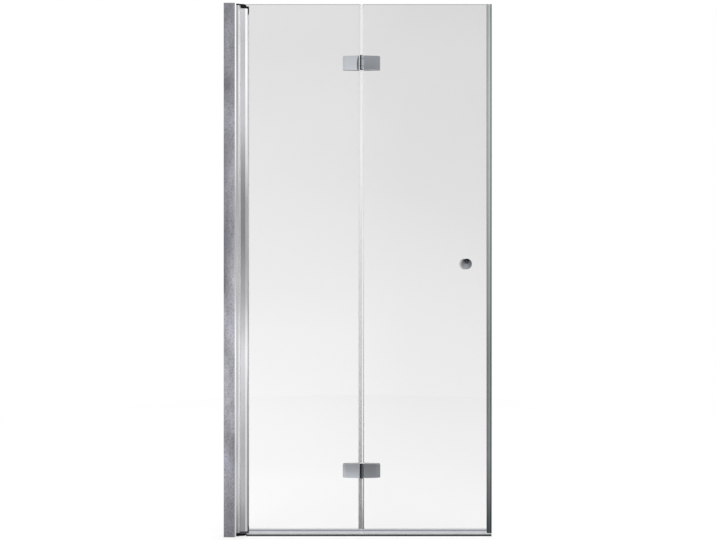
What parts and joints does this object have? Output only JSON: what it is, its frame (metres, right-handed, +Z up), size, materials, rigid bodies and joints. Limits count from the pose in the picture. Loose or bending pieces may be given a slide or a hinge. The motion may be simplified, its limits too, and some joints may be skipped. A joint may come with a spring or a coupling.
{
  "type": "bifold shower door",
  "caption": "Frameless folding shower door: wall profile with a pivot, clear glass leaves joined by fold hinges, round knob, magnetic closing seal and threshold bar.",
  "frame": {"origin": "middle of the closed door's width and depth at tray level, in the mid plane of the glass", "axes": "+Z up, +X from the wall profile to the closing edge, -Y towards the room"},
  "size_m": [0.98, 0.066, 1.95],
  "materials": {
    "wall_aluminium": "satin, finely speckled",
    "bright_aluminium": "polished",
    "grey_plastic": "satin",
    "steel": "fine brushed",
    "black_plastic": "satin",
    "black_aluminium": "black anodised",
    "black_rubber": "matt",
    "clear_seal": "translucent, slightly smoky",
    "magnet": "satin",
    "clear_glass": "clear, polished edges",
    "chrome": "polished",
    "white_nylon": "satin"
  },
  "bodies": {
    "wall_frame": {"wall_profile": "wall_aluminium", "adjusting_profile": "bright_aluminium", "top_filler_cap": "grey_plastic", "locking_screws": "steel", "screw_covers": "grey_plastic", "barrel_wipers": "clear_seal", "top_pivot_block": "black_plastic", "bottom_pivot_block": "black_plastic", "top_pivot_pin": "steel", "bottom_pivot_pin": "steel", "threshold_bar": "black_aluminium", "threshold_end_caps": "black_plastic"},
    "turning_panel": {"pivot_profile": "bright_aluminium", "pivot_top_cap": "black_plastic", "pivot_bottom_cap": "black_plastic", "top_pivot_bush": "white_nylon", "bottom_pivot_bush": "white_nylon", "glazing_gasket": "clear_seal", "pivot_glass": "clear_glass", "inner_fold_seal": "clear_seal", "inner_drip_seal": "clear_seal", "upper_fixed_leaf": "chrome", "lower_fixed_leaf": "chrome", "upper_fixed_clamp": "chrome", "lower_fixed_clamp": "chrome", "fixed_leaf_gaskets": "black_rubber", "fixed_leaf_ferrules": "white_nylon", "fixed_leaf_screws": "steel", "upper_hinge_pin": "steel", "lower_hinge_pin": "steel", "upper_bearing_sleeve": "black_plastic", "lower_bearing_sleeve": "black_plastic", "thrust_washers": "black_plastic"},
    "folding_panel": {"folding_glass": "clear_glass", "outer_fold_seal": "clear_seal", "outer_drip_seal": "clear_seal", "upper_moving_leaf": "chrome", "lower_moving_leaf": "chrome", "upper_moving_clamp": "chrome", "lower_moving_clamp": "chrome", "moving_leaf_gaskets": "black_rubber", "moving_leaf_ferrules": "white_nylon", "moving_leaf_screws": "steel", "closing_seal": "clear_seal", "magnet_strip": "magnet", "outside_knob": "chrome", "inside_knob": "chrome", "knob_stud": "steel", "knob_washers": "white_nylon", "knob_ferrule": "white_nylon"}
  },
  "joints": [
    {"name": "wall_pivot", "type": "hinge", "parent": "wall_frame", "child": "turning_panel", "pos_m": [-0.425, 0, 0], "axis": [0, 0, 1], "range_deg": [0, 90]},
    {"name": "fold_hinge", "type": "hinge", "parent": "turning_panel", "child": "folding_panel", "pos_m": [0.013, -0.012, 0], "axis": [0, 0, -1], "range_deg": [0, 175]}
  ]
}
